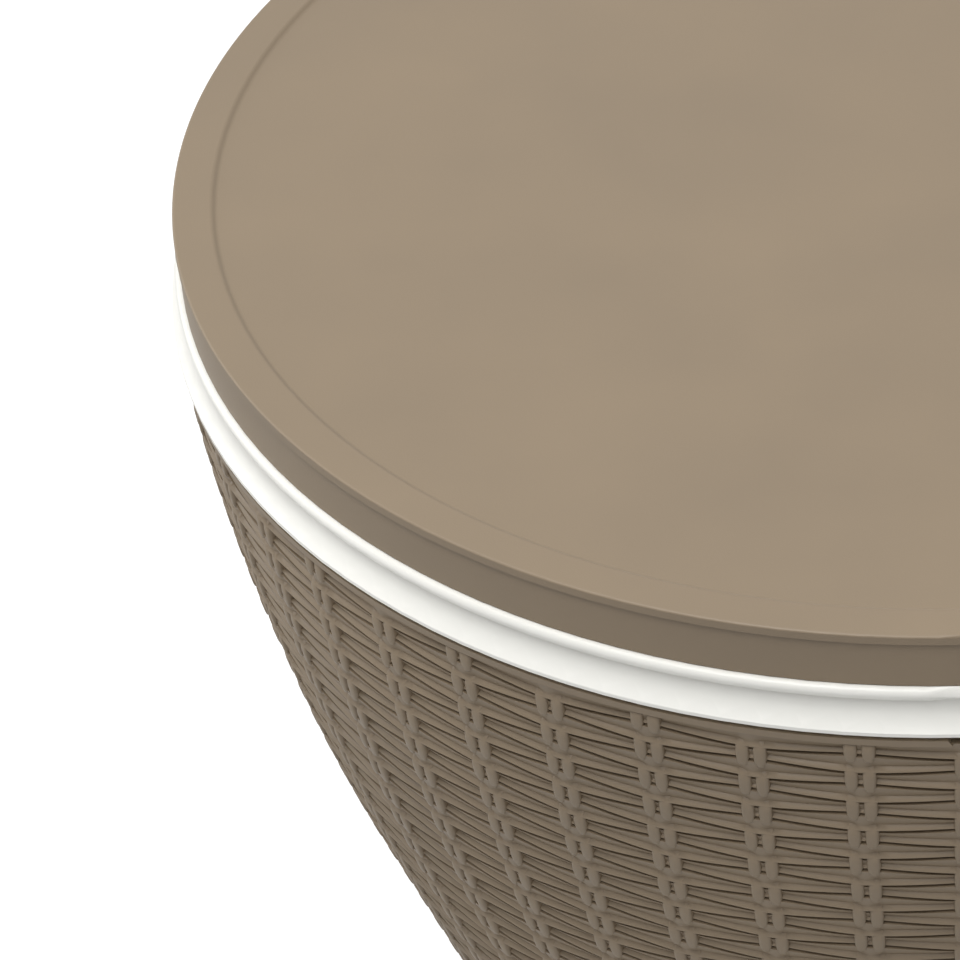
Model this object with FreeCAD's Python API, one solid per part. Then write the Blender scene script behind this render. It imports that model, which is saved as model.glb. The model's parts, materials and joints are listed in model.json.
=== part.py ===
import FreeCAD, Part
import math
import os

# Round cooler table in millimetres, +Z up. The origin is the centre of the footprint on the floor.
# Angles round the table are in degrees from the front (-Y), positive towards +X.
# A wicker-look bowl on a bell-shaped base holds a tub for ice and drinks. The lid is the tabletop:
# it stands on a post that slides up in the centre column, and a twist locks it at bar height.

# Overall sizes
table_height = 570.0
rim_radius = 247.5
lift_height = 270.0
lock_turn = 45.0

# Clearances between pieces, and how far a cutting shape runs past the face it cuts
slide_clearance = 0.3
fit_clearance = 0.1
seat_gap = 0.3
cut_over = 1.0

# Lid
lid_set_in = 3.0
lid_height = 18.7
lid_wall = 3.0
border_width = 12.0
border_rise = 1.0
border_slope = 2.5
lid_edge_round = 0.8
lid_edge_height = 3.0
skirt_inset = 1.0
skirt_wall = 3.0
underside_recess = 1.0
underside_wall = 2.5
locating_ring_gap = 6.0
locating_ring_wall = 2.5
locating_ring_depth = 8.0
lid_rib_count = 12
lid_rib_wall = 2.0
lid_boss_inset = 28.5
lid_boss_radius = 5.0
lid_screw_count = 8

# Lift post and the pieces on it
post_radius = 32.0
post_wall = 2.5
post_overlap = 87.0
flange_radius = 62.0
flange_thickness = 5.0
flange_socket_wall = 4.0
flange_socket_depth = 25.0
flange_screw_circle = 49.0
flange_screw_count = 6
lug_count = 3
lug_angle = 24.0
lug_height = 12.0
lug_foot_extra_angle = 7.0
lug_foot_extra_height = 3.0
lug_foot_thickness = 2.0
retainer_wall = 2.4
end_cap_flange = 5.0
end_cap_overhang = 2.4
end_cap_plug = 15.0
end_cap_wall = 3.0
glide_height = 20.0
clip_thickness = 1.6
clip_groove_depth = 1.0
clip_stand = 2.0
clip_opening = 50.0

# Centre column
column_bore_radius = 37.0
column_wall = 3.0
column_drop = 51.0
key_depth = 2.0
key_width = 6.0
key_angle = 82.5

# Twist-lock collar on top of the column
bush_depth = 48.0
ledge_thickness = 10.0
collar_thickness = 6.0
collar_skirt_depth = 14.0
collar_skirt_wall = 3.0
collar_edge_round = 2.0
collar_screw_count = 3

# Tub
tub_wall = 3.0
tub_depth = 265.0
tub_corner_round = 18.0
tub_inset = 14.0
tub_rim_height = 15.7
tub_mouth_round = 3.0
rim_land_thickness = 2.5
bead_round = 2.3
bead_outset = 1.2
neck_inset = 4.3
flare_wall = 2.5
lip_height = 1.2
hub_top_radius = 48.0
hub_wall = 3.0
hub_draft = 1.0
hub_top_flange = 8.0
hub_foot_round = 8.0

# Bowl
shell_wall = 4.5
shell_inset = 0.5
top_slope = 6.5
bulge_radius = 746.0
cone_slope = 20.9
top_border_height = 4.0
top_border_step = 0.8
top_flange_width = 12.5
notch_count = 3
notch_width = 16.0
notch_lean = 3.0
clip_width = 12.0
clip_stem_wall = 3.0
clip_hook_reach = 1.5

# Woven look of bowl and base: pairs of stakes stand as ribs on a wall set in between the borders
weave_relief = 1.5
stake_pair_count = 48
stake_pair_width = 9.3
foot_border_height = 7.0

# Waist and base
waist_drop = 348.0
waist_curve = 90.0
waist_band_height = 16.0
waist_band_proud = 1.5
waist_plate = 6.0
waist_screw_count = 8
shell_foot_flange = 22.0
shell_foot_thickness = 4.0
base_top_slope = 20.0
base_curve = 600.0
base_foot_z = 6.0

# Floor plate and feet
floor_thickness = 4.0
floor_rise = 6.0
floor_rib_height = 14.0
floor_rib_wall = 2.5
floor_rib_count = 12
floor_screw_count = 8
floor_boss_radius = 5.0
floor_web_wall = 2.0
foot_socket_wall = 4.0
foot_socket_height = 32.0
foot_count = 6
foot_screw_gap = 26.0
foot_radius = 14.0
foot_edge = 1.5
foot_recess = 2.0
foot_pin_radius = 4.0

# Drain at the back, square to the tub's sloping wall
drain_angle = 180.0
drain_corner_gap = 1.0
spout_bore_radius = 7.0
spout_wall = 3.0
spout_flange_radius = 14.0
spout_flange = 2.5
gasket_thickness = 1.5
spacer_wall = 3.0
drain_nut_radius = 16.5
drain_nut_height = 6.0
spout_reach = 11.0
cap_radius = 15.5
cap_wall = 3.0
cap_nut_gap = 1.5
cap_rib_count = 18
cap_rib_radius = 1.0
seal_height = 2.0
drain_pad_radius = 23.0
drain_pad_proud = 0.4
drain_seat_depth = 0.3

# Screws for plastic
screw_radius = 2.0
screw_length = 12.0
screw_head_radius = 3.8
screw_head_height = 2.6
screw_head_round = 0.9
screw_recess_radius = 1.3
screw_recess_depth = 1.6
column_screw_length = 6.5

up = FreeCAD.Vector(0, 0, 1)
sideways = FreeCAD.Vector(1, 0, 0)
origin = FreeCAD.Vector(0, 0, 0)
round_middle = 1 - math.sqrt(0.5)

# Heights worked out from the sizes: the column, the tub's floor and the waist hang from the tub's
# rim, and the post is as long as its lift and the stretch that stays below the collar
skirt_foot_z = table_height - lid_height
panel_top_z = table_height - border_rise
panel_under_z = panel_top_z - lid_wall
underside_z = skirt_foot_z + underside_recess
underside_top_z = underside_z + underside_wall
rim_top_z = skirt_foot_z - seat_gap
rim_foot_z = rim_top_z - tub_rim_height
shell_top_z = rim_foot_z - seat_gap
column_top_z = rim_top_z - column_drop
tub_floor_z = rim_top_z - tub_depth
waist_z = rim_top_z - waist_drop
post_top_z = underside_z - seat_gap
flange_foot_z = underside_z - flange_thickness
bush_foot_z = column_top_z - bush_depth
pocket_foot_z = bush_foot_z + ledge_thickness
lug_foot_z = pocket_foot_z + seat_gap - lift_height
pocket_height = lug_height + 2 * seat_gap
post_foot_z = bush_foot_z - lift_height - post_overlap
glide_foot_z = post_foot_z + seat_gap
clip_foot_z = glide_foot_z + glide_height + seat_gap
collar_top_z = column_top_z + collar_thickness
floor_z = base_foot_z + floor_rise
floor_top_z = floor_z + floor_thickness
column_screw_z = floor_top_z + foot_socket_height / 2
waist_plate_foot_z = waist_z - waist_plate / 2
waist_plate_top_z = waist_z + waist_plate / 2
waist_band_foot_z = waist_z - waist_band_height / 2
waist_band_top_z = waist_z + waist_band_height / 2

# Radii worked out from the sizes
lid_radius = rim_radius - lid_set_in
skirt_radius = lid_radius - skirt_inset
skirt_bore = skirt_radius - skirt_wall
underside_radius = skirt_bore - slide_clearance
lid_boss_circle = skirt_bore - lid_boss_inset
post_bore = post_radius - post_wall
lug_reach = column_bore_radius - 2 * slide_clearance
column_radius = column_bore_radius + column_wall
glide_radius = column_bore_radius - slide_clearance
key_radius = column_bore_radius - key_depth
shell_top_radius = rim_radius - shell_inset
shell_top_inner = shell_top_radius - top_flange_width
collar_screw_circle = (column_radius + hub_top_radius) / 2

# Angles of screws that stand between other pieces
lid_screw_start = 180.0 / lid_screw_count
collar_screw_start = 180.0 / collar_screw_count
waist_screw_start = 180.0 / waist_screw_count
foot_start = 180.0 / foot_count


def point(radius, z):
    return FreeCAD.Vector(radius, 0, z)


def lathe(start, *steps):
    """Turn an outline of (radius, z) points about Z. A step is a point for a straight run, or a
    pair of points, through and end, for an arc."""
    edges = []
    here = start
    for step in steps + (start,):
        if isinstance(step[0], tuple):
            through, end = step
            edges.append(Part.Arc(point(*here), point(*through), point(*end)).toShape())
            here = end
        elif step != here:
            edges.append(Part.LineSegment(point(*here), point(*step)).toShape())
            here = step
    face = Part.Face(Part.Wire(edges))
    return face.revolve(origin, up, 360)


def ring(inner, outer, low, high):
    return lathe((inner, low), (outer, low), (outer, high), (inner, high))


def rod(radius, low, high, at_radius=0.0, angle=0.0):
    return Part.makeCylinder(radius, high - low, spot(at_radius, angle, low))


def spot(radius, angle, z):
    turn = math.radians(angle)
    return FreeCAD.Vector(radius * math.sin(turn), -radius * math.cos(turn), z)


def turned(shape, angle):
    copy = shape.copy()
    copy.rotate(origin, up, angle)
    return copy


def around(count, start=0.0):
    return [start + 360.0 * index / count for index in range(count)]


def block(inner, outer, width, low, high):
    """A radial block at the front."""
    return Part.makeBox(width, outer - inner, high - low, FreeCAD.Vector(-width / 2, -outer, low))


def sector(inner, outer, low, high, middle, spread):
    """Part of a ring, spread degrees wide, about the angle called middle."""
    half = spread / 2
    inner_start = spot(inner, -half, low)
    outer_start = spot(outer, -half, low)
    outer_end = spot(outer, half, low)
    inner_end = spot(inner, half, low)
    edges = [
        Part.LineSegment(inner_start, outer_start).toShape(),
        Part.Arc(outer_start, spot(outer, 0, low), outer_end).toShape(),
        Part.LineSegment(outer_end, inner_end).toShape(),
        Part.Arc(inner_end, spot(inner, 0, low), inner_start).toShape(),
    ]
    face = Part.Face(Part.Wire(edges))
    return turned(face.extrude(up * (high - low)), middle)


def across(radius, inner, outer, z):
    """A radial rod at the front."""
    return Part.makeCylinder(radius, outer - inner, spot(outer, 0, z), -spot(1, 0, 0))


def fuse(first, others):
    return first.fuse(list(others)).removeSplitter()


def cut(first, others):
    return first.cut(list(others))


def on_slope(centre, radius, slope):
    """The point of a side-view arc where the wall leans in by slope degrees on the way down."""
    lean = math.radians(slope)
    return (centre[0] + radius * math.cos(lean), centre[1] - radius * math.sin(lean))


# Side view of the bowl and base: a bulging arc from the rim, a cone, a hollow arc through the
# waist, and a bulging arc down to the foot. Every arc keeps its centre when the wall is inset.
bulge_centre = on_slope((shell_top_radius, shell_top_z), -bulge_radius, top_slope)
cone_top = on_slope(bulge_centre, bulge_radius, cone_slope)
cone_foot_z = waist_z + waist_curve * math.sin(math.radians(cone_slope))
cone_foot = (cone_top[0] - (cone_top[1] - cone_foot_z) * math.tan(math.radians(cone_slope)), cone_foot_z)
waist_centre = on_slope(cone_foot, waist_curve, cone_slope)
waist_radius = waist_centre[0] - waist_curve
base_top = on_slope(waist_centre, -waist_curve, -base_top_slope)
base_centre = on_slope(base_top, -base_curve, -base_top_slope)

# Radii of the joint at the waist: the shells step in behind the band and end in screwed flanges
waist_step_radius = waist_radius - shell_wall / 2
waist_flange_bore = waist_radius - shell_foot_flange
waist_screw_circle = (waist_flange_bore + waist_radius - shell_wall) / 2


def body_radius(z, inset=0.0):
    """Outer radius of the bowl and base at height z, less an inset square to the wall."""
    lean = math.radians(cone_slope)
    if z > cone_top[1] - inset * math.sin(lean):
        drop = bulge_centre[1] - z
        return bulge_centre[0] + math.sqrt((bulge_radius - inset) ** 2 - drop ** 2)
    if z > cone_foot[1] - inset * math.sin(lean):
        return cone_top[0] - (cone_top[1] - z) * math.tan(lean) - inset / math.cos(lean)
    if z > base_top[1]:
        return waist_centre[0] - math.sqrt((waist_curve + inset) ** 2 - (z - waist_z) ** 2)
    rise = z - base_centre[1]
    return base_centre[0] + math.sqrt((base_curve - inset) ** 2 - rise ** 2)


def wall_run(z_from, z_to, inset):
    """Steps of a lathe outline that follow the body between two heights, after its first point."""
    joints = [
        on_slope(bulge_centre, bulge_radius - inset, cone_slope)[1],
        on_slope(waist_centre, -waist_curve - inset, cone_slope)[1],
        on_slope(waist_centre, -waist_curve - inset, -base_top_slope)[1],
    ]
    low, high = sorted((z_from, z_to))
    stops = sorted([z for z in joints if low < z < high] + [z_to], reverse=z_to < z_from)
    if stops[-1] != z_to:
        stops.append(z_to)
    steps = []
    here = z_from
    for z in stops:
        middle = (here + z) / 2
        end = (body_radius(z, inset), z)
        straight = joints[1] < middle < joints[0]
        steps.append(end if straight else ((body_radius(middle, inset), middle), end))
        here = z
    return steps


def screw(length=screw_length):
    """A pan-head screw that points down, with the seat of its head at the origin."""
    head = Part.makeCylinder(screw_head_radius, screw_head_height)
    top_edge = [edge for edge in head.Edges if edge.BoundBox.ZMin > screw_head_height / 2]
    head = head.makeFillet(screw_head_round, top_edge)
    shank = Part.makeCylinder(screw_radius, length, origin, -up)
    recess = Part.makeCylinder(screw_recess_radius, screw_recess_depth,
                               FreeCAD.Vector(0, 0, screw_head_height - screw_recess_depth))
    return head.fuse(shank).removeSplitter().cut(recess)


def screws_down(count, circle, z, start=0.0, length=screw_length):
    pieces = []
    for angle in around(count, start):
        piece = screw(length)
        piece.translate(spot(circle, angle, z))
        pieces.append(piece)
    return pieces


def screws_up(count, circle, z, start=0.0, length=screw_length):
    pieces = []
    for angle in around(count, start):
        piece = screw(length)
        piece.rotate(origin, sideways, 180)
        piece.translate(spot(circle, angle, z))
        pieces.append(piece)
    return pieces


def screw_holes(count, circle, low, high, start=0.0):
    radius = screw_radius + fit_clearance
    return [rod(radius, low, high, circle, angle) for angle in around(count, start)]


# Lid

def tabletop_panel():
    border_inner = lid_radius - border_width
    slope_round = (border_slope ** 2 + border_rise ** 2) / (4 * border_rise)
    slope_turn = math.asin(border_slope / (2 * slope_round))
    slope_run = slope_round * math.sin(slope_turn / 2)
    slope_climb = slope_round * (1 - math.cos(slope_turn / 2))
    slope_foot = border_inner - border_slope
    slope_middle = (border_inner - border_slope / 2, table_height - border_rise / 2)
    edge_low = table_height - lid_edge_height
    corner = lid_edge_round * round_middle
    disc = lathe(
        (0, panel_top_z),
        (slope_foot, panel_top_z),
        ((slope_foot + slope_run, panel_top_z + slope_climb), slope_middle),
        ((border_inner - slope_run, table_height - slope_climb), (border_inner, table_height)),
        (lid_radius - lid_edge_round, table_height),
        ((lid_radius - corner, table_height - corner), (lid_radius, table_height - lid_edge_round)),
        (lid_radius, edge_low),
        (skirt_radius, edge_low),
        (skirt_radius, skirt_foot_z),
        (skirt_bore, skirt_foot_z),
        (skirt_bore, panel_under_z),
        (0, panel_under_z),
    )
    ribs = [turned(block(flange_screw_circle, skirt_bore + skirt_wall / 2, lid_rib_wall,
                         underside_top_z + seat_gap, panel_under_z + lid_wall / 2), angle)
            for angle in around(lid_rib_count)]
    hub_rib = ring(flange_screw_circle - lid_rib_wall, flange_screw_circle + lid_rib_wall,
                   underside_top_z + seat_gap, panel_under_z + lid_wall / 2)
    bosses = [rod(lid_boss_radius, underside_top_z, panel_under_z + lid_wall / 2, lid_boss_circle, angle)
              for angle in around(lid_screw_count, lid_screw_start)]
    bosses += [rod(lid_boss_radius, underside_top_z, panel_under_z + lid_wall / 2,
                   flange_screw_circle, angle)
               for angle in around(flange_screw_count)]
    body = fuse(disc, ribs + [hub_rib] + bosses)
    outer_holes = screw_holes(lid_screw_count, lid_boss_circle, underside_top_z, panel_under_z,
                              lid_screw_start)
    hub_holes = screw_holes(flange_screw_count, flange_screw_circle, underside_top_z, panel_under_z)
    return cut(body, outer_holes + hub_holes)


def tabletop_underside():
    ring_outer = body_radius(rim_foot_z, tub_inset + tub_wall) - locating_ring_gap
    plate = lathe(
        (0, underside_z),
        (ring_outer - locating_ring_wall, underside_z),
        (ring_outer - locating_ring_wall, underside_z - locating_ring_depth),
        (ring_outer, underside_z - locating_ring_depth),
        (ring_outer, underside_z),
        (underside_radius, underside_z),
        (underside_radius, underside_top_z),
        (0, underside_top_z),
    )
    outer_holes = screw_holes(lid_screw_count, lid_boss_circle, underside_z, underside_top_z,
                              lid_screw_start)
    hub_holes = screw_holes(flange_screw_count, flange_screw_circle, underside_z, underside_top_z)
    return cut(plate, outer_holes + hub_holes)


def lid_screws():
    return screws_up(lid_screw_count, lid_boss_circle, underside_z, lid_screw_start)


# Lift post

def post_flange():
    bore = post_radius + fit_clearance
    socket_foot_z = flange_foot_z - flange_socket_depth
    body = lathe(
        (bore, socket_foot_z),
        (bore + flange_socket_wall, socket_foot_z),
        (bore + flange_socket_wall, flange_foot_z),
        (flange_radius, flange_foot_z),
        (flange_radius, underside_z),
        (bore, underside_z),
    )
    return cut(body, screw_holes(flange_screw_count, flange_screw_circle, flange_foot_z, underside_z))


def flange_screws():
    return screws_up(flange_screw_count, flange_screw_circle, flange_foot_z,
                     length=flange_thickness + screw_length)


def lid_post():
    tube = ring(post_bore, post_radius, post_foot_z, post_top_z)
    window_angle = lug_angle + math.degrees(2 * fit_clearance / post_bore)
    windows = [sector(post_bore - post_wall, post_radius + post_wall, lug_foot_z - fit_clearance,
                      lug_foot_z + lug_height + fit_clearance, angle, window_angle)
               for angle in around(lug_count)]
    groove = ring(post_radius - clip_groove_depth, post_radius + clip_groove_depth,
                  clip_foot_z - fit_clearance, clip_foot_z + clip_thickness + fit_clearance)
    return cut(tube, windows + [groove])


def lock_lugs():
    pieces = []
    foot_outer = post_bore - fit_clearance
    foot_inner = foot_outer - lug_foot_thickness
    for angle in around(lug_count):
        lug = sector(foot_inner, lug_reach, lug_foot_z, lug_foot_z + lug_height, angle, lug_angle)
        foot = sector(foot_inner, foot_outer, lug_foot_z - lug_foot_extra_height,
                      lug_foot_z + lug_height + lug_foot_extra_height, angle,
                      lug_angle + 2 * lug_foot_extra_angle)
        pieces.append(fuse(lug, [foot]))
    return pieces


def lug_retainer():
    outer = post_bore - 2 * fit_clearance - lug_foot_thickness
    return ring(outer - retainer_wall, outer, lug_foot_z - 2 * lug_foot_extra_height,
                lug_foot_z + lug_height + 2 * lug_foot_extra_height)


def post_end_cap():
    plug_radius = post_bore - fit_clearance
    plug_bore = plug_radius - end_cap_wall
    plug_top_z = post_foot_z + end_cap_plug
    flange_z = post_foot_z - end_cap_flange
    return lathe(
        (0, flange_z),
        (post_radius + end_cap_overhang, flange_z),
        (post_radius + end_cap_overhang, post_foot_z),
        (plug_radius, post_foot_z),
        (plug_radius, plug_top_z),
        (plug_bore, plug_top_z),
        (plug_bore, post_foot_z),
        (0, post_foot_z),
    )


def glide_ring():
    sleeve = ring(post_radius + slide_clearance, glide_radius, glide_foot_z, glide_foot_z + glide_height)
    notches = [turned(block(key_radius - slide_clearance, column_radius, key_width + 2 * slide_clearance,
                            glide_foot_z - cut_over, glide_foot_z + glide_height + cut_over), angle)
               for angle in around(lug_count, key_angle)]
    return cut(sleeve, notches)


def glide_clip():
    inner = post_radius - clip_groove_depth + fit_clearance
    body = ring(inner, post_radius + clip_stand, clip_foot_z, clip_foot_z + clip_thickness)
    opening = sector(inner / 2, column_radius, clip_foot_z - cut_over,
                     clip_foot_z + clip_thickness + cut_over, drain_angle, clip_opening)
    return cut(body, [opening])


# Centre column

def column_tube():
    tube = ring(column_bore_radius, column_radius, floor_top_z, column_top_z)
    keys = [turned(block(key_radius, column_bore_radius + column_wall / 2, key_width,
                         floor_top_z, bush_foot_z - seat_gap), angle)
            for angle in around(lug_count, key_angle)]
    holes = [turned(across(screw_radius + fit_clearance, column_bore_radius - key_depth - cut_over,
                           column_radius + cut_over, column_screw_z), angle)
             for angle in around(lug_count, key_angle)]
    return cut(fuse(tube, keys), holes)


def column_foot_screws():
    pieces = []
    for angle in around(lug_count, key_angle):
        piece = screw(column_screw_length)
        piece.rotate(origin, sideways, 90)
        seat = column_radius + fit_clearance + foot_socket_wall
        piece.translate(spot(seat, 0, column_screw_z))
        pieces.append(turned(piece, angle))
    return pieces


def twist_lock_collar():
    bore = post_radius + slide_clearance
    bush_radius = column_bore_radius - fit_clearance
    skirt_inner = hub_radius(column_top_z - collar_skirt_depth) + slide_clearance
    skirt_outer = skirt_inner + collar_skirt_wall
    corner = collar_edge_round * round_middle
    body = lathe(
        (bore, bush_foot_z),
        (bush_radius, bush_foot_z),
        (bush_radius, column_top_z),
        (skirt_inner, column_top_z),
        (skirt_inner, column_top_z - collar_skirt_depth),
        (skirt_outer, column_top_z - collar_skirt_depth),
        (skirt_outer, collar_top_z - collar_edge_round),
        ((skirt_outer - corner, collar_top_z - corner), (skirt_outer - collar_edge_round, collar_top_z)),
        (bore, collar_top_z),
    )
    way_angle = lug_angle + math.degrees(2 * slide_clearance / bore)
    cuts = []
    for angle in around(lug_count):
        cuts.append(sector(bore / 2, column_radius, bush_foot_z - cut_over,
                           pocket_foot_z + pocket_height, angle, way_angle))
        cuts.append(sector(bore / 2, column_radius, pocket_foot_z, pocket_foot_z + pocket_height,
                           angle + lock_turn / 2, way_angle + lock_turn))
    cuts += screw_holes(collar_screw_count, collar_screw_circle, column_top_z, collar_top_z,
                        collar_screw_start)
    return cut(body, cuts)


def collar_screws():
    return screws_down(collar_screw_count, collar_screw_circle, collar_top_z, collar_screw_start)


# Tub

def hub_radius(z):
    """Outer radius of the tub's hub, which widens downwards so that it leaves its mould."""
    return hub_top_radius + (column_top_z - z) * math.tan(math.radians(hub_draft))


def tub_body():
    """Rim, wall, floor and hub in one turned shape. The rim bends out over a bead and flares down
    over the bowl's edge."""
    inner_inset = tub_inset + tub_wall
    floor_under_z = tub_floor_z - tub_wall
    neck_radius = rim_radius - neck_inset
    neck_z = rim_top_z - 2 * bead_round
    bead_radius = neck_radius + bead_outset + bead_round / 2
    bead_corner = bead_round * round_middle
    lip_z = rim_foot_z + lip_height
    flare_drop = neck_z - lip_z
    flare_round = (neck_inset ** 2 + flare_drop ** 2) / (2 * neck_inset)
    flare_half_z = neck_z - flare_drop / 2
    flare_half = neck_radius + flare_round - math.sqrt(flare_round ** 2 - (flare_drop / 2) ** 2)
    land_under_z = rim_top_z - rim_land_thickness
    mouth_z = rim_top_z - tub_mouth_round
    mouth_radius = body_radius(mouth_z, inner_inset)
    mouth_corner = tub_mouth_round * round_middle
    corner_centre = (body_radius(tub_floor_z + tub_corner_round, inner_inset + tub_corner_round),
                     tub_floor_z + tub_corner_round)
    corner_mid_slope = (cone_slope + 90) / 2
    outer_corner = tub_corner_round + tub_wall
    outer_end = on_slope(corner_centre, outer_corner, cone_slope)
    inner_start = on_slope(corner_centre, tub_corner_round, cone_slope)
    hub_foot = hub_radius(tub_floor_z)
    hub_corner = hub_foot_round * round_middle
    hub_flange_z = column_top_z - hub_top_flange
    return lathe(
        (mouth_radius + tub_mouth_round, rim_top_z),
        (bead_radius - bead_round, rim_top_z),
        ((bead_radius - bead_corner, rim_top_z - bead_corner), (bead_radius, rim_top_z - bead_round)),
        ((bead_radius - bead_corner, neck_z + bead_corner), (neck_radius, neck_z)),
        ((flare_half, flare_half_z), (rim_radius, lip_z)),
        (rim_radius, rim_foot_z),
        (rim_radius - flare_wall, rim_foot_z),
        ((flare_half - flare_wall, flare_half_z), (neck_radius - flare_wall, neck_z)),
        (neck_radius - flare_wall, land_under_z),
        (body_radius(land_under_z, tub_inset), land_under_z),
        *wall_run(land_under_z, outer_end[1], tub_inset),
        (on_slope(corner_centre, outer_corner, corner_mid_slope), (corner_centre[0], floor_under_z)),
        (hub_radius(floor_under_z) - hub_wall, floor_under_z),
        (hub_radius(hub_flange_z) - hub_wall, hub_flange_z),
        (column_radius + slide_clearance, hub_flange_z),
        (column_radius + slide_clearance, column_top_z),
        (hub_top_radius, column_top_z),
        (hub_radius(tub_floor_z + hub_foot_round), tub_floor_z + hub_foot_round),
        ((hub_foot + hub_corner, tub_floor_z + hub_corner), (hub_foot + hub_foot_round, tub_floor_z)),
        (corner_centre[0], tub_floor_z),
        (on_slope(corner_centre, tub_corner_round, corner_mid_slope), inner_start),
        *wall_run(inner_start[1], mouth_z, inner_inset),
        ((mouth_radius + mouth_corner, rim_top_z - mouth_corner),
         (mouth_radius + tub_mouth_round, rim_top_z)),
    )


def tub():
    holes = screw_holes(collar_screw_count, collar_screw_circle, column_top_z - hub_top_flange,
                        column_top_z, collar_screw_start)
    drain_seat = drain_cylinder(spout_flange_radius + slide_clearance, tub_seat_step - tub_wall,
                                tub_seat_step)
    return cut(tub_body(), holes + [drain_seat, drain_bore()])


# Bowl and base

def stake_ribs(low, high):
    """Ribs down the woven wall between two heights, rooted in the middle of the wall."""
    root = shell_wall / 2
    skin = lathe(
        (body_radius(high), high),
        *wall_run(high, low, 0),
        (body_radius(low, root), low),
        *wall_run(low, high, root),
    )
    bar = block(waist_radius - shell_wall, rim_radius, stake_pair_width, low, high)
    bars = [turned(bar, angle) for angle in around(stake_pair_count)]
    return skin.common(Part.makeCompound(bars)).Solids


def bowl_shell():
    foot_z = waist_plate_top_z
    flange_top_z = foot_z + shell_foot_thickness
    weave_foot_z = waist_band_top_z + seat_gap
    border_foot_z = shell_top_z - top_border_height
    step_z = shell_top_z - top_border_step
    step_radius = shell_top_radius - shell_wall / 2
    body = lathe(
        (shell_top_inner, shell_top_z),
        (step_radius, shell_top_z),
        (step_radius, step_z),
        (body_radius(step_z), step_z),
        *wall_run(step_z, border_foot_z, 0),
        (body_radius(border_foot_z, weave_relief), border_foot_z),
        *wall_run(border_foot_z, weave_foot_z, weave_relief),
        (waist_step_radius, weave_foot_z),
        (waist_step_radius, foot_z),
        (waist_flange_bore, foot_z),
        (waist_flange_bore, flange_top_z),
        (body_radius(flange_top_z, shell_wall), flange_top_z),
        *wall_run(flange_top_z, border_foot_z, shell_wall),
        (shell_top_inner, border_foot_z),
    )
    clip_slot = block(*clip_stem(slide_clearance), clip_width + 2 * slide_clearance,
                      border_foot_z - cut_over, shell_top_z + cut_over)
    cuts = [turned(shape, angle) for shape in (rim_notch(), clip_slot) for angle in around(notch_count)]
    cuts += screw_holes(waist_screw_count, waist_screw_circle, foot_z, flange_top_z, waist_screw_start)
    cuts.append(drain_cylinder(spout_radius + spacer_wall + slide_clearance,
                               bowl_seat_step - shell_wall, bowl_seat_step))
    cuts.append(drain_bore())
    pad = drain_cylinder(drain_pad_radius, bowl_seat_step, drain_pad_proud)
    return cut(fuse(body, [pad] + stake_ribs(weave_foot_z, border_foot_z)), cuts)


def rim_notch():
    """A notch with leaning sides in the bowl's top border, where a clip can be let go."""
    half = notch_width / 2
    top_z = shell_top_z + cut_over
    low_z = shell_top_z - top_border_height
    outline = [(-half, top_z), (half, top_z), (half - notch_lean, low_z), (notch_lean - half, low_z)]
    corners = [FreeCAD.Vector(x, shell_wall - shell_top_radius, z) for x, z in outline]
    face = Part.Face(Part.makePolygon(corners + corners[:1]))
    return face.extrude(FreeCAD.Vector(0, -2 * shell_wall, 0))


def clip_stem(extra=0.0):
    """Inner and outer radius of a clip's stem, which fits inside the tub's hollow rim."""
    outer = rim_radius - neck_inset - flare_wall - slide_clearance
    return outer - clip_stem_wall - extra, outer + extra


def rim_clips():
    """Clips that hang in the tub's hollow rim and hook under the bowl's top flange."""
    inner, outer = clip_stem()
    hook_top_z = shell_top_z - top_border_height - seat_gap
    hook_foot_z = hook_top_z - clip_stem_wall
    stem_top_z = rim_top_z - rim_land_thickness - seat_gap
    stem = block(inner, outer, clip_width, hook_foot_z, stem_top_z)
    hook = block(inner - clip_hook_reach, outer, clip_width, hook_foot_z, hook_top_z)
    clip = fuse(stem, [hook])
    return [turned(clip, angle) for angle in around(notch_count)]


def waist_ring():
    """The smooth band at the waist and the plate inside it that ties bowl, base and column."""
    low = waist_band_foot_z
    high = waist_band_top_z
    bore = waist_step_radius + slide_clearance
    outer = max(body_radius(low), body_radius(high)) + waist_band_proud
    round_in = waist_band_proud
    corner = round_in * round_middle
    body = lathe(
        (column_radius + slide_clearance, waist_plate_foot_z),
        (bore, waist_plate_foot_z),
        (bore, low),
        (outer - round_in, low),
        ((outer - corner, low + corner), (outer, low + round_in)),
        (outer, high - round_in),
        ((outer - corner, high - corner), (outer - round_in, high)),
        (bore, high),
        (bore, waist_plate_top_z),
        (column_radius + slide_clearance, waist_plate_top_z),
    )
    holes = screw_holes(waist_screw_count, waist_screw_circle, waist_plate_foot_z, waist_plate_top_z,
                        waist_screw_start)
    return cut(body, holes)


def waist_screws():
    """Screws down through the bowl's foot flange, the plate and the base's top flange."""
    grip = 2 * shell_foot_thickness + waist_plate
    return screws_down(waist_screw_count, waist_screw_circle, waist_plate_top_z + shell_foot_thickness,
                       waist_screw_start, grip + screw_head_height)


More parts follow.
